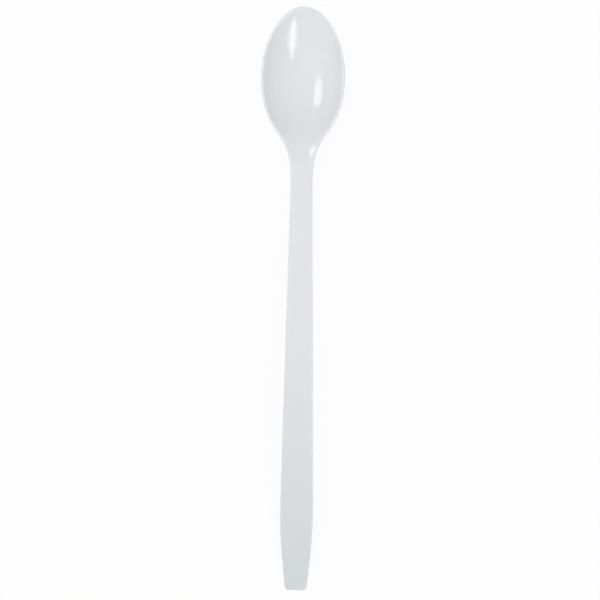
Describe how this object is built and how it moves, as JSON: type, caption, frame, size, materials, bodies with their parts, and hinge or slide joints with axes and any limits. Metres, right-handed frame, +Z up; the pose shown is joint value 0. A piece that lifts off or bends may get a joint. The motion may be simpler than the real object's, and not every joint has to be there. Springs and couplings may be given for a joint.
{
  "type": "iced tea spoon",
  "caption": "Long-handled white plastic spoon with a small oval bowl, a narrow neck and a flat-topped handle that widens and then tapers to a square-cut end.",
  "frame": {"origin": "on the table under the middle of the spoon's length, in its plane of symmetry", "axes": "+Y towards the bowl's tip, +Z up out of the bowl, +X to the right when the bowl points away"},
  "size_m": [0.0292, 0.2032, 0.0142],
  "materials": {
    "white_plastic": "glossy moulded white plastic, slightly milky, faint moulding waviness"
  },
  "bodies": {
    "root": {"spoon": "white_plastic"}
  },
  "joints": []
}
